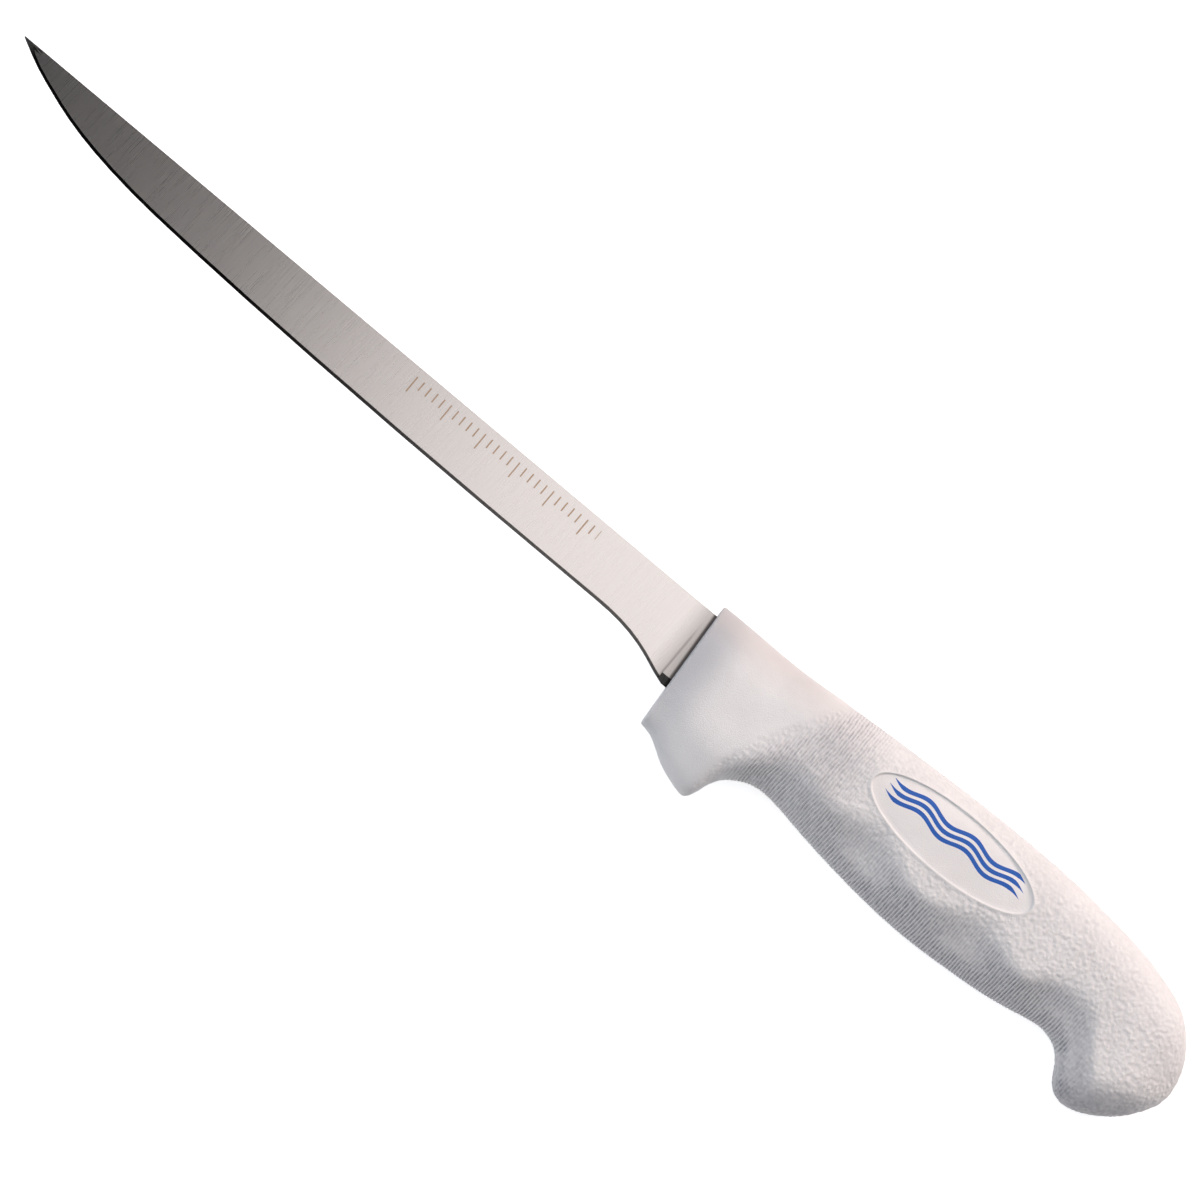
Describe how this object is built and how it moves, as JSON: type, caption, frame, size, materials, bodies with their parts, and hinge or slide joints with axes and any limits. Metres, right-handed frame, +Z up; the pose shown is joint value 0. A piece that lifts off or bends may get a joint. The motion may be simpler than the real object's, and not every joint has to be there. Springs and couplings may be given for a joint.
{
  "type": "fillet knife",
  "caption": "Fillet knife with a narrow ground blade and a pale soft grip with a guard, finger contours and a hooked butt.",
  "frame": {"origin": "centre of the bounding box's footprint, on the surface that the knife lies on", "axes": "+X from the tip to the butt, +Y from the cutting edge to the spine, +Z up from the side that the knife lies on"},
  "size_m": [0.3502, 0.0422, 0.0216],
  "materials": {
    "blade_steel": "satin ground stainless steel, scratched finely across the blade",
    "core_plastic": "hard moulded polypropylene, hidden inside the grip",
    "grip_rubber": "satin white soft moulded plastic, ribbed and pebbled behind a smooth front"
  },
  "bodies": {
    "root": {"blade": "blade_steel", "handle_core": "core_plastic", "soft_grip": "grip_rubber"}
  },
  "joints": []
}
